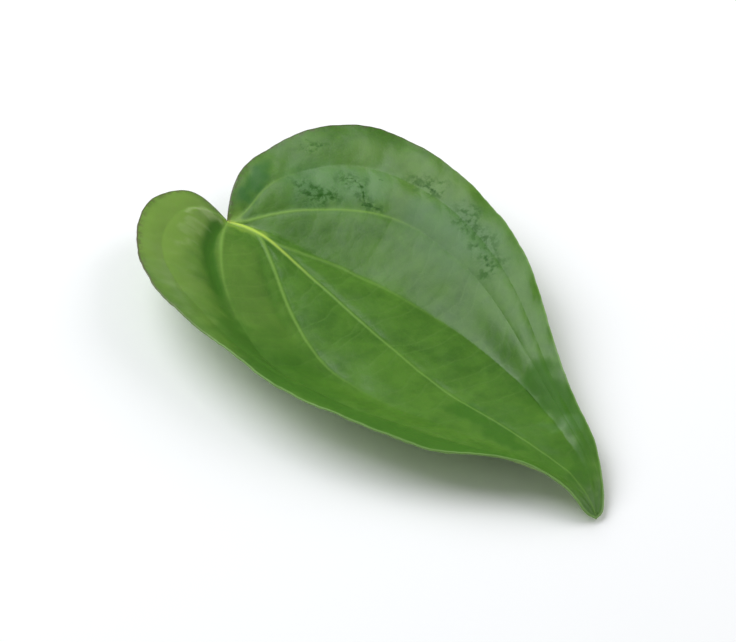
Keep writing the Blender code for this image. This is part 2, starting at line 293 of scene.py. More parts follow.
def drawBladeNet():
    # middle surface of the blade in millimetres, with its map and the way out at its rim
    shape = leafShape
    count = shape["rows"] + 1
    names = ("Inner", "Middle", "Outer", "Edge")
    midrib = curveThrough(shape["midrib"], count)
    rails = {
        side: [midrib] + [curveThrough(shape[side + name], count) for name in names]
        for side in ("right", "left")
    }
    points = [shape["notch"]]
    leafMap = [(0.0, 0.5, 0.0)]  # along the leaf, and across it from the left edge
    rimOut = [shape["rimOutAtNotch"]]
    rows = []
    halfColumns = sum(shape["panelColumns"])
    panels = len(shape["panelColumns"])
    for row in range(1, shape["rows"]):
        along = row / shape["rows"]
        halves = [halfRow(rails[side], row, along, side) for side in ("left", "right")]
        plan, distance, lift, across, known, heights = [
            np.concatenate([sign * left[:0:-1], right])
            for sign, left, right in zip((1, -1, 1, -1, -1, 1), *halves)
        ]
        spots = np.column_stack([plan, smoothHeights(known, heights, distance) + lift])
        width = known[-1] - known[0]
        stride = next(step for least, step in shape["rowStrides"] if width >= least)
        members = []
        for column in range(-halfColumns, halfColumns + 1, stride):
            k = column + halfColumns
            members.append((column, len(points)))
            points.append(tuple(spots[k]))
            leafMap.append((along, (across[k] / panels + 1) / 2, 0.0))
            if abs(column) == halfColumns:
                away = spots[k] - spots[k - 1 if column > 0 else k + 1]
                rimOut.append(tuple(away / np.linalg.norm(away)))
            else:
                rimOut.append((0.0, 0.0, 0.0))
        rows.append(members)
    tip = len(points)
    points.append(shape["tip"])
    leafMap.append((1.0, 0.5, 0.0))
    rimOut.append(shape["rimOutAtTip"])
    triangles = [(0, b[1], a[1])[::-1] for a, b in zip(rows[0], rows[0][1:])]
    for near, far in zip(rows, rows[1:]):
        triangles += zipRows(near, far)
    triangles += [(tip, a[1], b[1])[::-1] for a, b in zip(rows[-1], rows[-1][1:])]
    points = np.array(points)
    points[:, 2] += foldLift(points[:, :2])
    return points, triangles, leafMap, rimOut, rails


# Main veins: how far each stands out below, its half width there, the width of its pale line above
# and how strong that line's colour is. Each pair goes from the notch to the tip, in millimetres but
# for the last. Then comes where along the leaf the line begins to fade, and where it is gone.
veinSizes = ("height", "reach", "line", "tint")
veinKinds = {
    "midrib": ((1.5, 0.3), (1.5, 0.7), (0.80, 0.30), (1.0, 0.36), (1.5, 2.0)),
    "left inner": ((0.9, 0.2), (1.1, 0.6), (0.9, 0.35), (0.85, 0.4), (0.28, 0.62)),
    "right inner": ((0.9, 0.2), (1.1, 0.6), (1.0, 0.5), (0.42, 0.26), (0.22, 0.58)),
    "left middle": ((0.8, 0.15), (1.1, 0.6), (0.9, 0.3), (0.85, 0.25), (0.05, 0.32)),
    "right middle": ((0.8, 0.15), (1.1, 0.6), (0.9, 0.3), (0.95, 0.4), (0.2, 0.37)),
    "outer": ((0.35, 0.05), (1.1, 0.6), (0.70, 0.25), (0.8, 0.3), (0.02, 0.15)),
}
innerVeins = {
    # along the leaf: leaves the midrib, runs free
    "right": (0.10, 0.22),
    "left": (0.06, 0.15),
    # rows of the free part: left out at the tip, and from point to point
    "tip rows": 12,
    "row step": 15,
}


def drawVeinGuides(rails, ground, centre):
    # one string of edges on the blade for each main vein, marked with its kind
    tree = KDTree(len(ground))
    for i, (x, y, _) in enumerate(ground):
        tree.insert((x, y, 0), i)
    tree.balance()
    spots, edges, kinds = [], [], []
    numbers = {vein: number for number, vein in enumerate(veinKinds)}
    strings = [("midrib", rails["right"][0])]
    for side in ("right", "left"):
        low, high = [int(share * leafShape["rows"]) for share in innerVeins[side]]
        midrib, inner, middle, outer = rails[side][:4]
        start = midrib[low // 2:low + 1:low // 2]
        free = inner[high:-innerVeins["tip rows"]:innerVeins["row step"]]
        inner = curveThrough([*start, *free], leafShape["rows"])
        strings += [(f"{side} inner", inner), (f"{side} middle", middle), ("outer", outer)]
    for kind, curve in strings:
        first = len(spots)
        for x, y, _ in curve:
            near = tree.find_n((x, y, 0), 3)  # the nearer of three points weighs more
            weights = [1 / (gap + 0.001) for _, _, gap in near]
            heights = [ground[i][2] for _, i, _ in near]
            height = sum(h * weight for h, weight in zip(heights, weights)) / sum(weights)
            spots.append(tuple((np.array((x, y, height)) - centre) * mm))
        edges += [(first + i, first + i + 1) for i in range(len(curve) - 1)]
        kinds += [numbers[kind]] * len(curve)
    mesh = bpy.data.meshes.new("veinGuides")
    mesh.from_pydata(spots, edges, [])
    mesh.attributes.new("veinKind", "INT", "POINT").data.foreach_set("value", kinds)
    return addObject("veinGuides", mesh)


def veinInputs():
    # the veins' sizes as the relief tree names and takes them
    values = {}
    for vein, (*sizes, shows) in veinKinds.items():
        for name, ends in zip(veinSizes, sizes):
            for end, size in zip(("notch", "tip"), ends):
                values[f"{vein} {name} at {end}"] = size * (1 if name == "tint" else mm)
        values[f"{vein} shows to"], values[f"{vein} gone from"] = shows
    return values


reliefSizes = {
    # millimetres
    "blade thickness": 0.45,
    "margin thickness": 0.42,
    "margin taper": 2.5,
    "margin bulge": 0.14,
    "line rise": 0.09,  # the vein itself, standing up in the middle of its groove
    "quilt height": 0.09,  # how far the blade swells up between its small veins, where it does so most
    "quilt reach": 2.4,
    "rung height": 0.16,
    "rung reach": 0.8,
    "link height": 0.09,
    "link reach": 0.6,
    "undulation height": 0.30,
    "undulation size": 19.0,
    "pucker height": 0.055,
    "pucker size": 4.5,
}

reliefShares = {
    "groove depth": 0.08,  # of the rib's height below
    "groove width": 1.6,  # of the rib's reach below
    "rung groove": 0.16,
    "first rung": 0.035,  # along the blade, notch 0 and tip 1
    "last rung": 0.975,
    "rung jitter": 0.32,  # of the step from rung to rung
    "rung slant": 0.35,
    "rung bow": 0.30,
    "rung wander": 0.55,
    "margin sweep": 0.95,
    "link wander": 0.30,
}

reliefCounts = {"rungs": 21, "links": 2, "seed": 7}

reliefDetails = {
    "rung points": 15,
    "link points": 7,
    "rim steps": 4,
    "link places": (0.25, 0.75),  # how far a link strays between two others
    "link bends": 2.2,
    "rung bends": 2.7,
    "sweep power": 3.0,  # the rungs of the outermost panels turn along the margin late
    "line power": 0.5,  # lines above thin out soon after the notch
    "noise range": (0.3, 0.7),
    "quilted where": (0.6, -0.8),  # more in the hollows of the undulation
    "weld distance": 0.000001,  # metres
}


def buildReliefTree():
    detail = reliefDetails
    tree = bpy.data.node_groups.new("leafRelief", "GeometryNodeTree")
    add = partial(addNode, tree)
    kinds = {"Geometry": "Geometry", "main veins": "Object", "leaf tissue": "Material"}
    kinds.update(dict.fromkeys(reliefCounts, "Int"))
    kinds.update(dict.fromkeys([*reliefSizes, *reliefShares, *veinInputs()], "Float"))
    for name, kind in kinds.items():
        tree.interface.new_socket(name, in_out="INPUT", socket_type=f"NodeSocket{kind}")
    tree.interface.new_socket("Geometry", in_out="OUTPUT", socket_type="NodeSocketGeometry")
    given = add("GroupInput", output=None).outputs
    net = given["Geometry"]
    where = add("InputNamedAttribute", "leafMap", data_type="FLOAT_VECTOR")
    along = add("SeparateXYZ", where)
    panels = len(leafShape["panelColumns"])

    # small veins: rungs between neighbouring main veins, and links from rung to rung
    index = add("InputIndex")
    cells = add("IntegerMath SUBTRACT", given["rungs"], 1)
    linkIndex, linkTurn = [
        add(f"IntegerMath {how}", index, given["links"]) for how in ("DIVIDE_FLOOR", "MODULO")
    ]
    low, high = detail["link places"]
    linkJitter = add("RandomValue", output=1, inputs={2: low, 3: high, "ID": index, "Seed": given["seed"]})
    linkOrder = add("Math ADD", linkTurn, linkJitter)
    linkStart = add("Math DIVIDE", linkOrder, given["links"])
    strands = []
    for kind, perPanel, cell, start, points in (
        (0, given["rungs"], index, 0.0, detail["rung points"]),
        (1, cells, linkIndex, linkStart, detail["link points"]),
    ):
        panel, rung = [add(f"IntegerMath {how}", cell, perPanel) for how in ("DIVIDE_FLOOR", "MODULO")]
        count = add("IntegerMath MULTIPLY", perPanel, 2 * panels)
        if kind:
            count = add("IntegerMath MULTIPLY", count, given["links"])
        seeds = add("MeshLine", count, inputs={"Offset": (0, 0, 0)})
        for name, value, valueKind in (
            ("panel", panel, "INT"), ("rung", rung, "INT"), ("start", start, "FLOAT"), ("kind", kind, "INT"),
        ):
            seeds = add("StoreNamedAttribute", seeds, None, name, value, data_type=valueKind)
        strand = add("MeshLine", points, inputs={"Offset": (1 / (points - 1), 0, 0)})
        strands.append(add("RealizeInstances", add("InstanceOnPoints", seeds, None, strand)))
    strands = add("JoinGeometry", strands)

    panel, rung, kind, veinKind = [
        add("InputNamedAttribute", name, data_type="INT") for name in ("panel", "rung", "kind", "veinKind")
    ]
    start = add("InputNamedAttribute", "start", data_type="FLOAT")
    place = add("InputPosition")
    step = add("SeparateXYZ", place)
    serial = add("IntegerMath MULTIPLY_ADD", panel, given["rungs"], rung)
    track = add("CombineXYZ", step, start, serial)
    noise = add("TexNoise", inputs={"Vector": track, "Scale": detail["link bends"], "Detail": 0.0})
    sway = add("Math SUBTRACT", noise, 0.5)
    linkOut = add("Math MULTIPLY_ADD", sway, given["link wander"], start)
    outward = add("Mix", kind, None, step, linkOut)
    between = add("Math MULTIPLY", step, kind)
    fromMidrib = add("IntegerMath MODULO", panel, panels)
    whole = {"data_type": "INT"}  # compares whole numbers
    leftSide = add("Compare GREATER_EQUAL", None, None, panel, panels, **whole)
    atMargin = add("Compare EQUAL", None, None, fromMidrib, panels - 1, **whole)
    span = add("Math SUBTRACT", given["last rung"], given["first rung"])
    stepAlong = add("Math DIVIDE", span, given["rungs"])
    slant = add("Math MULTIPLY", outward, given["rung slant"])
    arch = add("Math MULTIPLY", outward, math.pi)
    arch = add("Math SINE", arch)
    bowed = add("Math MULTIPLY_ADD", arch, given["rung bow"], slant)
    sweep = add("Math POWER", outward, detail["sweep power"])
    sweep = add("Math MULTIPLY", sweep, atMargin)
    bowed = add("Math MULTIPLY_ADD", sweep, given["margin sweep"], bowed)
    rungPlaces = []
    for ahead in (0, 1):
        number = add("IntegerMath ADD", serial, ahead)
        order = add("IntegerMath ADD", rung, ahead)
        high = given["rung jitter"]
        low = add("Math MULTIPLY", high, -1.0)
        jitter = add("RandomValue", output=1, inputs={2: low, 3: high, "ID": number, "Seed": given["seed"]})
        track = add("CombineXYZ", outward, number, 0.5)
        noise = add("TexNoise", inputs={"Vector": track, "Scale": detail["rung bends"], "Detail": 1.0})
        sway = add("Math SUBTRACT", noise, 0.5)
        sway = add("Math MULTIPLY_ADD", sway, given["rung wander"], bowed)
        sway = add("Math ADD", sway, jitter)
        steps = add("Math ADD", sway, order)
        rungPlaces.append(add("Math MULTIPLY_ADD", steps, stepAlong, given["first rung"]))
    strandAlong = add("Mix", between, None, *rungPlaces)
    acrossOut = add("Math ADD", fromMidrib, outward)
    facing = add("MapRange", leftSide, 0.0, 1.0, 0.5 / panels, -0.5 / panels)
    strandAcross = add("Math MULTIPLY_ADD", acrossOut, facing, 0.5)
    strandSpot = add("CombineXYZ", strandAlong, strandAcross, 0.0)
    onBlade = add("SampleUVSurface", net, place, where, strandSpot, data_type="FLOAT_VECTOR")
    strands = add("SetPosition", strands, None, onBlade)

    # distances from every point of the net to the veins and to the margin
    guides = add("ObjectInfo", output="Geometry", inputs={"Object": given["main veins"]})
    neighbours = add("InputMeshEdgeNeighbors")
    atRim = add("Compare EQUAL", None, None, neighbours, 1, **whole)
    margin = add("SeparateGeometry", net, atRim, domain="EDGE")
    edgeGap, rungGap, linkGap, *veinGaps = [
        add("Proximity", source, group, output="Distance", inputs=number, target_element="EDGES")
        for source, group, number in (
            (margin, None, None),
            *[(strands, kind, {"Sample Group ID": number}) for number in (0, 1)],
            *[(guides, veinKind, {"Sample Group ID": number}) for number in range(len(veinKinds))],
        )
    ]

    # rib below, groove and pale line above, for each kind of main vein
    alongSoon = add("Math POWER", along, detail["line power"])
    ribs = None
    tints = crests = 0.0
    for vein, gap in zip(veinKinds, veinGaps):
        height, reach, line, tint = [
            add("MapRange", way, 0.0, 1.0, given[f"{vein} {size} at notch"], given[f"{vein} {size} at tip"])
            for size, way in zip(veinSizes, (along, along, alongSoon, alongSoon))
        ]
        ends = given[f"{vein} shows to"], given[f"{vein} gone from"]
        shown = add("MapRange", along, *ends, 1.0, 0.0, **eased)
        wide = add("Math MULTIPLY", reach, given["groove width"])
        deep = add("Math MULTIPLY", height, shown)
        shade = add("Math MULTIPLY", tint, shown)
        *shapes, crest = [
            add("MapRange", gap, 0.0, far, near, 0.0, **eased)
            for far, near in ((reach, height), (wide, deep), (line, shown), (line, shade), (reach, 1.0))
        ]
        crests = add("Math MAXIMUM", crests, crest)
        if ribs is None:
            ribs, grooves, lines, midribTint = shapes
            nearest = gap
        else:
            ribs, grooves, lines, tints = [
                add("Math MAXIMUM", *pair) for pair in zip((ribs, grooves, lines, tints), shapes)
            ]
            nearest = add("Math MINIMUM", nearest, gap)
    rungRidge, linkRidge = [
        add("MapRange", gap, 0.0, given[f"{name} reach"], given[f"{name} height"], 0.0, **eased)
        for name, gap in (("rung", rungGap), ("link", linkGap))
    ]
    smallRidge = add("Math MAXIMUM", rungRidge, linkRidge)
    fromVein = add("Math MINIMUM", nearest, rungGap)
    fromVein = add("Math MINIMUM", fromVein, edgeGap)
    swell = add("MapRange", fromVein, 0.0, given["quilt reach"], **eased)
    quilt = add("Math MULTIPLY", swell, given["quilt height"])

    # the two faces of the blade, uneven in two sizes, and more quilted in some places than in others
    normal = add("InputNormal")
    unevenness = []
    for name in ("undulation", "pucker"):
        scale = add("Math DIVIDE", 1.0, given[f"{name} size"])
        noise = add("TexNoise", inputs={"Vector": place, "Scale": scale, "Detail": 1.0})
        unevenness.append(add("MapRange", noise, *detail["noise range"], -1.0, 1.0))
    waveNoise, puckerNoise = unevenness
    quilted = add("MapRange", waveNoise, *detail["quilted where"], **eased)
    swollen = add("Math MULTIPLY", quilt, quilted)
    swollen = add("Math MULTIPLY_ADD", waveNoise, given["undulation height"], swollen)
    swollen = add("Math MULTIPLY_ADD", puckerNoise, given["pucker height"], swollen)
    thick = given["margin thickness"], given["blade thickness"]
    thickness = add("MapRange", edgeGap, 0.0, given["margin taper"], *thick, **eased)
    half = add("Math MULTIPLY", thickness, 0.5)
    above = add("Math ADD", swollen, half)
    below = add("Math SUBTRACT", swollen, half)
    rise = add("Math MULTIPLY", lines, given["line rise"])
    sunk = add("Math MULTIPLY", grooves, given["groove depth"])
    sunk = add("Math MULTIPLY_ADD", smallRidge, given["rung groove"], sunk)
    drop = add("Math SUBTRACT", rise, sunk)
    ridges = add("Math MAXIMUM", ribs, smallRidge)
    faces = []
    for offset, lift, sign in ((above, drop, 1.0), (below, ridges, -1.0)):
        moved = add("VectorMath SCALE", normal, inputs={"Scale": offset})
        moved = add("VectorMath ADD", moved, place)
        lift = add("Math MULTIPLY", lift, sign)
        moved = add("VectorMath ADD", moved, add("CombineXYZ", 0.0, 0.0, lift))
        faces.append(add("VectorMath MAXIMUM", moved, (-1, -1, 0)))  # nothing below the table

    marks = {
        "midribTint": midribTint, "veinTint": tints, "ribTint": crests, "rungGap": rungGap,
        "linkGap": linkGap, "edgeGap": edgeGap,
    }
    places = dict(zip(("upperPlace", "lowerPlace"), faces))
    for valueKind, named in (("FLOAT_VECTOR", places), ("FLOAT", marks)):
        for name, value in named.items():
            net = add("StoreNamedAttribute", net, None, name, value, data_type=valueKind)
    upperPlace, lowerPlace, rimOut = [
        add("InputNamedAttribute", name, data_type="FLOAT_VECTOR") for name in (*places, "rimOut")
    ]
    sides = []
    for geometry, spot, upper in ((add("FlipFaces", net), lowerPlace, 0.0), (net, upperPlace, 1.0)):
        geometry = add("SetPosition", geometry, None, spot)
        sides.append(add("StoreNamedAttribute", geometry, None, "upper", upper, data_type="FLOAT"))
    lower, upper = sides
    selected = atRim
    for number in range(1, detail["rim steps"] + 1):  # rounded rim from the upper face to the lower
        share = number / detail["rim steps"]
        drawn = add("ExtrudeMesh", upper, selected, (0, 0, 0), 0.0, output=None, mode="EDGES")
        selected = drawn.outputs["Top"]
        spot = add("Mix", share, output=1, inputs={4: upperPlace, 5: lowerPlace}, data_type="VECTOR")
        bulge = add("Math MULTIPLY", given["margin bulge"], math.sin(math.pi * share))
        out = add("VectorMath SCALE", rimOut, inputs={"Scale": bulge})
        spot = add("VectorMath ADD", spot, out)
        upper = add("SetPosition", drawn.outputs["Mesh"], selected, spot)
    blade = add("JoinGeometry", [lower, upper])
    blade = add("MergeByDistance", blade, None, detail["weld distance"])
    for name in (*places, "rimOut"):
        blade = add("RemoveAttribute", blade, name)
    blade = add("RealizeInstances", add("SetShadeSmooth", blade))
    blade = add("SetMaterial", blade, None, given["leaf tissue"])
    add("GroupOutput", blade, output=None)
    return tree


# Tones of the blade, some its own colour and some painted light and shade: a colour, and patches
# along paths in the leaf's own plan in millimetres, each with its half width and its strength.
leafTones = {
    # pale: lighter lobes and a band beside the left veins, partly a paler green of their own and partly
    # painted light where they catch more of it; the patch on the far half near the top is a painted sheen
    "pale": ("#76973f", [
        ([(-3, -8), (1, -18), (7, -25)], 10, 0.82), ([(7, -25), (18, -28)], 9, 0.66),
        ([(18, -28), (30, -31)], 8, 0.42), ([(30, -31), (44, -34)], 8, 0.22),
        ([(11, -8), (24, -14), (38, -18)], 8, 0.28), ([(12, 32), (26, 36), (36, 38)], 7, 0.2),
    ]),
    "fresh": ("#86a83c", [
        ([(0, 0), (8, 2)], 2.4, 0.6), ([(0.6, 0.4), (3, 2)], 1.3, 0.6),
    ]),
    # deep: painted shade, darker green along the near margin and the near half, on the drip tip where the
    # surface faces away from the light, and in a spot on the far half
    "deep": ("#376808", [
        ([(34, -26), (47, -30), (61, -33)], 5, 0.75),
        ([(62, -30), (78, -26), (90, -20), (102, -10)], 5, 0.8),
        ([(7.5, 17.3), (12.4, 19)], 2.6, 0.5),
        ([(82, -1.8), (100, -3)], 3.2, 0.9), ([(92, 3), (108, -1)], 6, 0.35),
        ([(40, -19), (62, -24)], 7, 0.5), ([(87, 15), (93, 13), (99, 12)], 4.6, 1.0),
        ([(101, 13.5), (108, 8), (114, 1)], 3.0, 0.7),
    ]),
    "cool": ("#33672b", [
        ([(8, 17), (16, 26)], 6, 0.2), ([(38, 34), (56, 30)], 6, 0.3), ([(33, 30), (47, 27)], 6, 0.28),
    ]),
    # teal: painted shade, a dark saturated green by the notch where the surface mirrors no light
    "teal": ("#23621c", [
        ([(-1, 6.5), (-3.5, 13)], 2.6, 0.7),
    ]),
    # painted sheen: pale bluish patches where the far half mirrors the light, and a painted highlight across
    # the drip tip
    "paintedSheen": ("#76a07c", [
        ([(100, 7), (102.8, 10)], 2.2, 0.07), ([(6, 19), (18, 29)], 7, 0.17), ([(30, 33), (50, 33)], 5, 0.08),
    ]),
    # painted highlights along the crinkled top of the left lobe and its puckers
    "crinkleHighlights": ("#a9bb86", [
        ([(-1.9, -9.5), (-1.7, -7.1), (-1.0, -4.2), (0.2, -2.6)], 0.9, 0.34),
        ([(1.2, -12.5), (0.6, -9.5), (1.6, -7)], 0.9, 0.2),
        ([(2.6, -14.5), (3.2, -11)], 0.9, 0.16), ([(5.6, -18.2), (6.3, -14.6)], 0.9, 0.16),
    ]),
    "flecks": ("#2a5a14", [
        ([(6, 17), (9.5, 17.4), (13, 19.6)], 3.4, 0.8), ([(11, 24.6), (16, 26.3), (20, 24.2)], 2.2, 0.55),
        ([(20, 23.6), (24.5, 25)], 1.6, 0.6), ([(24, 35), (31, 37)], 2.4, 0.6),
        ([(40, 36), (50, 32.5), (57.5, 29.2)], 3.6, 0.6), ([(-1.8, 24.2), (2, 27.6)], 1.2, 0.6),
    ]),
    "scuffs": ("#27560e", [
        ([(11.9, 24.4), (12.6, 26), (14.2, 26.4), (16.3, 26.3), (18.3, 25.3), (19.6, 24.2)], 0.75, 1.0),
        ([(20, 23.5), (21.4, 24.5), (23.8, 24.9)], 0.9, 1.0),
        ([(8.2, 16.2), (11, 18.2), (13.4, 20.2)], 1.1, 0.95),
        ([(6, 18), (9, 19.2)], 0.7, 0.85), ([(17.2, 29.8), (19, 30.7)], 0.6, 0.9),
        ([(26, 35), (28.8, 35.9), (30.6, 36.1)], 0.8, 0.9), ([(-1.6, 24.4), (1.8, 27.4)], 0.55, 0.9),
        ([(43, 35), (44.6, 33)], 0.7, 0.8), ([(47.6, 34), (50, 31)], 0.8, 0.85),
        ([(51.5, 33), (53, 30)], 0.7, 0.8), ([(53.6, 30.4), (56.4, 29)], 0.8, 0.9),
    ]),
}


toneOutline = {
    "reach": 1.2,  # of a patch's half width
    "fade": 0.9,
    "sway": [
        # for x and for y: waves of so many millimetres, turns in radians per millimetre, phase
        [(0.7, (0.9, 0.4), 0), (0.42, (-0.8, 1.7), 1)],
        [(0.7, (-0.5, 0.8), 2), (0.42, (1.5, 1.1), 0)],
    ],
}


def toneMasks(plan):
    # strength of each tone at points of the plan, with uneven outlines
    swayed = plan + np.column_stack([
        sum(size * np.sin(plan @ turns + phase) for size, turns, phase in curves)
        for curves in toneOutline["sway"]
    ])
    masks = {}
    for tone, (_, patches) in leafTones.items():
        masks[tone] = np.zeros(len(plan))
        for path, width, strength in patches:
            gap = nearPath(plan if tone == "scuffs" else swayed, path)[0]
            patch = strength * smooth((toneOutline["reach"] - gap / width) / toneOutline["fade"])
            masks[tone] = np.maximum(masks[tone], patch)
    return masks


def makeBlade(material):
    points, triangles, leafMap, rimOut, rails = drawBladeNet()
    marks = toneMasks(points[:, :2])
    # depth of the folds' valleys, which the material darkens as painted shade
    marks["fold"] = -foldLift(points[:, :2])
    centre = (points.min(axis=0) + points.max(axis=0)) / 2 * (1, 1, 0)
    guides = drawVeinGuides(rails, points, centre)
    points = (points - centre) * mm
    mesh = bpy.data.meshes.new("bladeNet")
    mesh.from_pydata(points.tolist(), [], triangles)
    for name, values in (("leafMap", leafMap), ("rimOut", rimOut)):
        data = mesh.attributes.new(name, "FLOAT_VECTOR", "POINT").data
        data.foreach_set("vector", np.array(values, float).ravel())
    for name, values in marks.items():
        mesh.attributes.new(name, "FLOAT", "POINT").data.foreach_set("value", values)
    net = addObject("bladeNet", mesh)
    tree = buildReliefTree()
    values = {"main veins": guides, "leaf tissue": material, **veinInputs()}
    values.update(reliefCounts | reliefShares | {name: size * mm for name, size in reliefSizes.items()})
    relief = net.modifiers.new("relief", "NODES")
    relief.node_group = tree
    for socket in tree.interface.items_tree:
        if socket.in_out == "INPUT" and socket.name in values:
            relief[socket.identifier] = values[socket.name]
    bpy.context.view_layer.update()
    graph = bpy.context.evaluated_depsgraph_get()
    mesh = bpy.data.meshes.new_from_object(net.evaluated_get(graph))
    mesh.name = "betelBlade"
    blade = addObject("betelBlade", mesh)
    for piece in (net, guides):
        bpy.data.objects.remove(piece)
    print("blade:", len(mesh.vertices), "points,", len(mesh.polygons), "faces")
    return blade, centre


leafFinish = {
    "deep green": "#3c6716",
    "full green": "#4e7a20",
    "midrib near notch": "#b8d350",
    "midrib further on": "#769e42",
    "side veins": "#7aa243",
    "small veins": "#567e30",
    "margin brown": "#4f3d35",
    # margin pale: partly the margin's own paler green and partly a painted highlight of the rim catching the
    # light
    "margin pale": "#7b9f57",
    "underside": "#749a50",
    "underside light": "#86a863",
    "ribs below": "#a3bf70",
    "patch share": 0.9,  # beside the mottle, which counts as 1
    "speckle share": 0.55,
    "net size": 1.7,  # millimetres, coarser than the real net of about half a millimetre
    "net strength": 0.08,
    "curl strength": 0.6,
    "roughness": (0.28, 0.42),
    "duller": {"worn": 0.4, "deep": 0.3, "teal": 0.15, "veins": 0.3, "below": 0.2},
    "ior": 1.45,
    "specular": 0.3,
    "light through": 0.12,
    "light reach": (0.4, 1.0, 0.2),  # millimetres, for red, green and blue
}
leafNoises = {
    # millimetres, detail, roughness, distortion. The real grain, cells of 0.05 mm, is drawn coarser.
    "mottle": (26.0, 3.0, 0.5, 0.0),
    "patches": (6.5, 3.0, 0.5, 0.0),
    "speckle": (1.9, 3.0, 0.5, 0.0),
    "curls": (3.2, 3.0, 0.5, 0.5),
    "blots": (1.5, 4.0, 0.6, 0.0),
    "grain": (0.38, 2.0, 0.5, 0.0),
}
leafRanges = {
    # value where each mask begins, and where it is full
    "green": (0.98, 1.48),
    "curls": (0.45, 0.5),
    "broken": (0.46, 0.56),
    "specks": (0.44, 0.62),
    "scuffs": (1.25, 1.6),
    # fold: where the painted shade in the folds' valleys begins and is full
    "fold": (0.05, 0.65),
    "midrib green": (0.07, 0.27),  # along the leaf
    "lobes end": (0.22, 0.55),
}
leafLines = {
    # what each line's distance is read from, its half width, and its strength in the middle
    "net": ("net", 0.16, 1.0),  # share of a cell of the net
    "rungs": ("rungGap", 0.42 * mm, 0.40),
    "links": ("linkGap", 0.336 * mm, 0.22),
    # rim: the line along the margin, browned round the lobes, elsewhere pale and partly a painted highlight
    # of the rim
    "rim": ("edgeGap", 0.42 * mm, 0.8),
    "spread": ("edgeGap", 1.8 * mm, 0.6),  # how far the browned margin of the lobes runs in, in spots
}
leafBumps = {"grain": 0.010, "net": 0.006, "worn": 0.05}  # millimetres, the last two pressed in


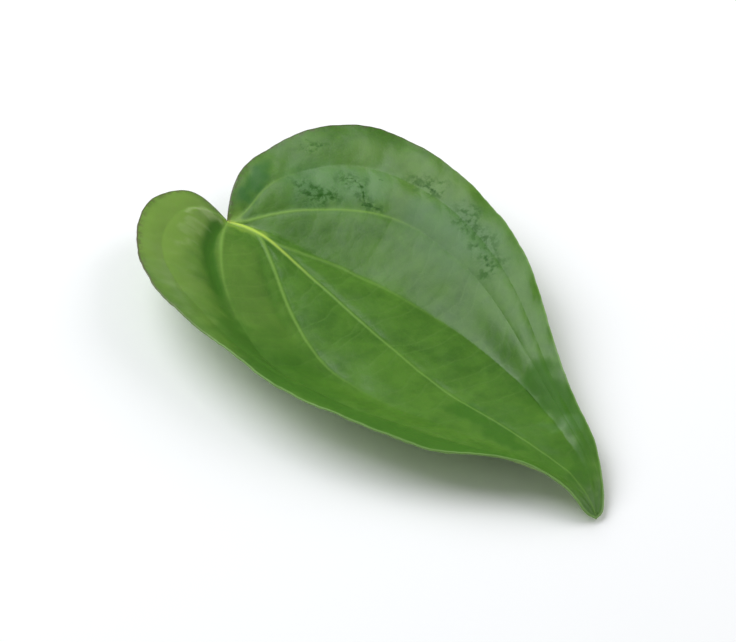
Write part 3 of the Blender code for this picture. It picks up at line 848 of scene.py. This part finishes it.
def makeLeafTissue():
    # fresh leaf under a thin natural wax: satin, even gloss that turns pale where it mirrors the light,
    # greener and deeper where it doesn't, duller and paler below
    finish = leafFinish
    material = bpy.data.materials.new("waxyLeafTissue")
    add = startNodes(material)
    place = add("TexCoord", output="Object")
    names = ("midribTint", "veinTint", "ribTint", "rungGap", "linkGap", "edgeGap", "upper", "fold")
    marks = {name: add("Attribute", output="Fac", attribute_name=name) for name in (*names, *leafTones)}
    along = add("SeparateXYZ", add("Attribute", output="Vector", attribute_name="leafMap"))
    cells = {"Vector": place, "Scale": 1 / (finish["net size"] * mm)}
    marks["net"] = add("TexVoronoi", inputs=cells, feature="DISTANCE_TO_EDGE")
    mottle, patches, speckle, curls, blots, grain = [
        add("TexNoise", place, None, 1 / (size * mm), detail, roughness, inputs={"Distortion": distortion})
        for size, detail, roughness, distortion in leafNoises.values()
    ]
    net, rungs, links, rim, spread = [
        add("MapRange", marks[mark], 0.0, width, strength, 0.0, **eased)
        for mark, width, strength in leafLines.values()
    ]

    # green of the blade, mottled in three sizes, and the net of small veins
    green = add("Math MULTIPLY_ADD", patches, finish["patch share"], mottle)
    green = add("Math MULTIPLY_ADD", speckle, finish["speckle share"], green)
    green = add("MapRange", green, *leafRanges["green"])
    small = add("Math MAXIMUM", rungs, links)
    small = add("Math MULTIPLY_ADD", net, finish["net strength"], small)

    # the worn tones are broken up into flecks and scuffs
    curls = add("Math PINGPONG", curls, 0.5)
    curls, specks, broken, folded, further, lobesEnd = [
        add("MapRange", value, *leafRanges[name], **eased)
        for name, value in (
            ("curls", curls), ("specks", blots), ("broken", patches), ("fold", marks["fold"]),
            ("midrib green", along), ("lobes end", along),
        )
    ]
    curls = add("Math MULTIPLY", curls, broken)
    curls = add("Math MULTIPLY", curls, finish["curl strength"])
    specks = add("Math MAXIMUM", curls, specks)
    flecks = add("Math MULTIPLY", marks["flecks"], specks)
    scuffs = add("Math ADD", marks["scuffs"], blots)
    scuffs = add("MapRange", scuffs, *leafRanges["scuffs"], **eased)
    # painted shade: the deep tone also darkens the folds' valleys
    deep = add("Math MAXIMUM", marks["deep"], folded)
    marks.update(flecks=flecks, scuffs=scuffs, deep=deep)
    worn = add("Math MAXIMUM", flecks, scuffs)
    worn = add("Math MULTIPLY", worn, marks["upper"])

    # underside and its ribs, and the rim, which is browned round the lobes and pale elsewhere, the pale line
    # partly the margin's own colour and partly a painted highlight of the rim
    below = add("Math SUBTRACT", 1.0, marks["upper"])
    ribs = add("Math MAXIMUM", small, marks["ribTint"])
    spread = add("Mix", lobesEnd, None, spread, 0.0)
    spread = add("Math MULTIPLY", spread, specks)
    rim = add("Math MAXIMUM", rim, spread)

    # colours from one mask each, then the layers over the green, one on another
    colour, midrib, under, rimColour = [
        add("Mix", mask, output=2, data_type="RGBA", inputs={
            6: toLinear(finish[first]), 7: toLinear(finish[second]),
        })
        for mask, first, second in (
            (green, "deep green", "full green"), (further, "midrib near notch", "midrib further on"),
            (green, "underside", "underside light"), (lobesEnd, "margin brown", "margin pale"),
        )
    ]
    ribColour = {6: under, 7: toLinear(finish["ribs below"])}
    under = add("Mix", ribs, output=2, inputs=ribColour, data_type="RGBA")
    for mask, layer in (
        (small, toLinear(finish["small veins"])),
        *[(marks[tone], toLinear(hexColour)) for tone, (hexColour, _) in leafTones.items()],
        (marks["veinTint"], toLinear(finish["side veins"])), (marks["midribTint"], midrib),
        (below, under), (rim, rimColour),
    ):
        colour = add("Mix", mask, output=2, inputs={6: colour, 7: layer}, data_type="RGBA")

    roughness = add("MapRange", patches, 0.0, 1.0, *finish["roughness"])
    veins = add("Math MAXIMUM", marks["veinTint"], marks["midribTint"])
    dull = {"worn": worn, "deep": deep, "teal": marks["teal"], "veins": veins, "below": below}
    for name, more in finish["duller"].items():
        roughness = add("Math MULTIPLY_ADD", dull[name], more, roughness)
    bump = {}
    for name, height in (("grain", grain), ("net", net), ("worn", worn)):
        sizes = {"Strength": 1.0, "Distance": leafBumps[name] * mm, "Height": height, **bump}
        bump = {"Normal": add("Bump", inputs=sizes, invert=name != "grain")}
    shader = add("BsdfPrincipled", inputs={
        "Base Color": colour, "Roughness": roughness, "IOR": finish["ior"], **bump,
        "Specular IOR Level": finish["specular"], "Subsurface Weight": finish["light through"],
        "Subsurface Radius": finish["light reach"], "Subsurface Scale": mm,
    })
    add("OutputMaterial", shader, output=None)
    return material


# Stub of the stalk

stubShape = {
    # millimetres, leaf's own axes
    "start": (3.4, 0.75, 2.35),
    "end": (-1.7, -0.2, 1.35),
    "radius": 1.12,
    "flatness": 0.86,
    "rings": 19,
    "sides": 28,
    "channel": 0.16,  # shallow channel along its upper side, share of the radius
    "channel power": 6,
    # rings of the cut: share of the length, share of the radius, how dried
    "cut rings": [(1.02, 0.951, 0.6), (1.03, 0.86, 1.0), (1.02, 0.55, 1.0), (1.0, 0.2, 1.0)],
    # unevenness of the cut: share of the length, waves round it, phase
    "cut waves": [(0.07, 2, 0.6), (0.042, 5, 2.0)],
}
stubFinish = {
    "green": "#7f9f45",
    "yellow": "#a3b85a",
    "brown": "#5d4526",
    "speckle size": 0.45,  # millimetres
    "speckle depth": 0.04,
    "dried by speckle": 0.5,
    "dried": (0.7, 1.2),
    "roughness": (0.38, 0.85),
    "ior": 1.45,
}


def makeStubMaterial():
    # fleshy stalk nipped off: smooth green rind, fibrous cut that has dried brown
    finish = stubFinish
    material = bpy.data.materials.new("cutStalk")
    add = startNodes(material)
    place = add("TexCoord", output="Object")
    cut = add("Attribute", output="Fac", attribute_name="cut")
    speckle = add("TexNoise", inputs={
        "Vector": place, "Scale": 1 / (finish["speckle size"] * mm), "Detail": 3.0,
    })
    dry = add("Math MULTIPLY_ADD", speckle, finish["dried by speckle"], cut)
    dry = add("MapRange", dry, *finish["dried"], **eased)
    colour = toLinear(finish["green"])
    for mask, layer in ((speckle, "yellow"), (dry, "brown")):
        layers = {6: colour, 7: toLinear(finish[layer])}
        colour = add("Mix", mask, output=2, inputs=layers, data_type="RGBA")
    roughness = add("MapRange", dry, 0.0, 1.0, *finish["roughness"])
    bump = add("Bump", inputs={
        "Strength": 1.0, "Distance": finish["speckle depth"] * mm, "Height": speckle,
    })
    shader = add("BsdfPrincipled", inputs={
        "Base Color": colour, "Roughness": roughness, "IOR": finish["ior"], "Normal": bump,
    })
    add("OutputMaterial", shader, output=None)
    return material


def makeStub(material, centre):
    shape = stubShape
    start, end = [(np.array(shape[name]) - centre) * mm for name in ("start", "end")]
    forward = (end - start) / np.linalg.norm(end - start)
    side = np.cross(forward, (0, 0, 1))
    side /= np.linalg.norm(side)
    up = np.cross(side, forward)
    points, faces, cut = [], [], []
    sides = shape["sides"]
    profile = [(ring / (shape["rings"] - 1), 1.0, 0.0) for ring in range(shape["rings"])]
    profile += shape["cut rings"]
    for share, scale, dried in profile:
        radius = shape["radius"] * mm * scale
        middle = start + (end - start) * share
        for k in range(sides):
            angle = 2 * math.pi * k / sides
            dip = 1 - shape["channel"] * max(0, math.sin(angle)) ** shape["channel power"]
            reach = side * math.cos(angle) + up * math.sin(angle) * shape["flatness"] * dip
            ragged = sum(size * math.sin(count * angle + phase) for size, count, phase in shape["cut waves"])
            points.append(tuple(middle + reach * radius + (end - start) * dried * ragged * scale))
            cut.append(dried)
    rings = len(profile)
    for ring in range(rings - 1):
        for k in range(sides):
            a, b = ring * sides + k, ring * sides + (k + 1) % sides
            faces.append((a, a + sides, b + sides, b))
    for ring, share, dried in ((0, 0.0, 0.0), (rings - 1, 1.0, 1.0)):
        hub = len(points)
        points.append(tuple(start + (end - start) * share))
        cut.append(dried)
        for k in range(sides):
            a, b = ring * sides + k, ring * sides + (k + 1) % sides
            faces.append((a, b, hub) if ring == 0 else (b, a, hub))
    mesh = bpy.data.meshes.new("stalkStub")
    mesh.from_pydata(points, [], faces)
    mesh.attributes.new("cut", "FLOAT", "POINT").data.foreach_set("value", cut)
    mesh.shade_smooth()
    mesh.materials.append(material)
    stub = addObject("stalkStub", mesh)
    print("stub:", len(mesh.vertices), "points")
    return stub


# Table, light and camera

studio = {
    # metres and degrees, but for the aim and the lens, which are in millimetres
    "floor": "#f6f6f4",
    "floor size": 8.0,
    "floor drop": 0.00002,  # below the leaf, so that the two don't share a plane
    "floor roughness": 0.9,
    "floor specular": 0.2,
    "sky": "#f2f4f6",
    "sky strength": 0.33,
    "azimuth": 49.41,
    "elevation": 40.0,
    "distance": 0.62,
    "aim": (-5.45, -5.18, 7.4),
    "lens": 140.6,
    "nearest": 0.01,
    "lights": [
        # name, place, size, watts, colour
        ("overhead", (-0.66, -0.2, 0.76), 0.9, 11.5, "#f7f9ff"),
        ("side", (0.42, 0.85, 0.75), 1.0, 6.0, "#ffffff"),
    ],
}


def makeStudio():
    half = studio["floor size"] / 2
    ways = ((-1, -1), (1, -1), (1, 1), (-1, 1))
    floorMesh = bpy.data.meshes.new("table")
    floorMesh.from_pydata([(x * half, y * half, -studio["floor drop"]) for x, y in ways], [], [range(4)])
    material = bpy.data.materials.new("paleMattTable")  # matt white board, hardly any gloss
    add = startNodes(material)
    shader = add("BsdfPrincipled", inputs={
        "Base Color": toLinear(studio["floor"]), "Roughness": studio["floor roughness"],
        "Specular IOR Level": studio["floor specular"],
    })
    add("OutputMaterial", shader, output=None)
    floorMesh.materials.append(material)
    floor = addObject("table", floorMesh)

    world = bpy.data.worlds.new("studioSky")
    add = startNodes(world)
    add("OutputWorld", add("Background", toLinear(studio["sky"]), studio["sky strength"]), output=None)
    bpy.context.scene.world = world

    for name, place, size, watts, colour in studio["lights"]:
        light = bpy.data.lights.new(name, "AREA")
        light.size = size
        light.energy = watts
        light.color = toLinear(colour)[:3]
        lamp = addObject(name, light)
        lamp.location = place
        lamp.rotation_euler = Vector(place).to_track_quat("Z", "Y").to_euler()

    turn, lift = math.radians(studio["azimuth"]), math.radians(studio["elevation"])
    back = Vector((math.sin(turn) * math.cos(lift), -math.cos(turn) * math.cos(lift), math.sin(lift)))
    camera = addObject("camera", bpy.data.cameras.new("camera"))
    camera.data.lens = studio["lens"]
    camera.data.clip_start = studio["nearest"]
    camera.location = Vector(studio["aim"]) * mm + back * studio["distance"]
    camera.rotation_euler = back.to_track_quat("Z", "Y").to_euler()
    bpy.context.scene.camera = camera
    bpy.context.scene.view_settings.view_transform = "Standard"
    print("studio ready")


blade, leafCentre = makeBlade(makeLeafTissue())
stub = makeStub(makeStubMaterial(), leafCentre)
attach(blade, "root")
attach(stub, "root")
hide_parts("betel_leaf")
makeStudio()
